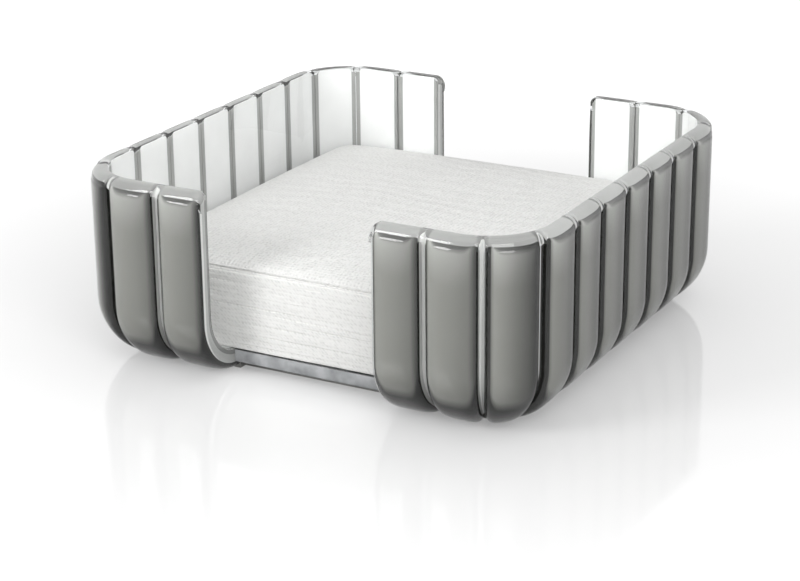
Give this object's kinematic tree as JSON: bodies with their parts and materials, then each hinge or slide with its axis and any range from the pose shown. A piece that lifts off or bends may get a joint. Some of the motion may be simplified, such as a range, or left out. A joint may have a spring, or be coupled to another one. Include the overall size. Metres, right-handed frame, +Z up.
{
  "type": "napkin holder",
  "caption": "Low square clear tray with grey fluted walls turned under into the base, a wide notch front and back, and a stack of folded paper napkins.",
  "frame": {"origin": "middle of the underside, where the base plate meets the table", "axes": "+X to the right along the notched front wall, +Y to the back, +Z up"},
  "size_m": [0.19, 0.19, 0.074],
  "materials": {
    "clear_acrylic": "clear, polished",
    "grey_flute": "warm grey outside and pearl white inside, gloss",
    "grey_base": "gloss",
    "napkin_paper": "white tissue paper, finely embossed"
  },
  "bodies": {
    "holder": {"clear_tray": "clear_acrylic", "base_plate": "grey_base", "flute_front_1": "grey_flute", "flute_front_2": "grey_flute", "flute_front_3": "grey_flute", "flute_front_4": "grey_flute", "flute_right_1": "grey_flute", "flute_right_2": "grey_flute", "flute_right_3": "grey_flute", "flute_right_4": "grey_flute", "flute_right_5": "grey_flute", "flute_right_6": "grey_flute", "flute_right_7": "grey_flute", "flute_back_1": "grey_flute", "flute_back_2": "grey_flute", "flute_back_3": "grey_flute", "flute_back_4": "grey_flute", "flute_left_1": "grey_flute", "flute_left_2": "grey_flute", "flute_left_3": "grey_flute", "flute_left_4": "grey_flute", "flute_left_5": "grey_flute", "flute_left_6": "grey_flute", "flute_left_7": "grey_flute", "flute_corner_front_right": "grey_flute", "flute_corner_back_right": "grey_flute", "flute_corner_back_left": "grey_flute", "flute_corner_front_left": "grey_flute"},
    "napkins": {"napkin_stack": "napkin_paper"},
    "next_napkin": {"top_napkin": "napkin_paper"}
  },
  "joints": [
    {"name": "stack_lift", "type": "slide", "parent": "holder", "child": "napkins", "axis": [0, 0, 1], "range_m": [0, 0.07]},
    {"name": "top_napkin_lift", "type": "slide", "parent": "napkins", "child": "next_napkin", "axis": [0, 0, 1], "range_m": [0, 0.05]}
  ]
}
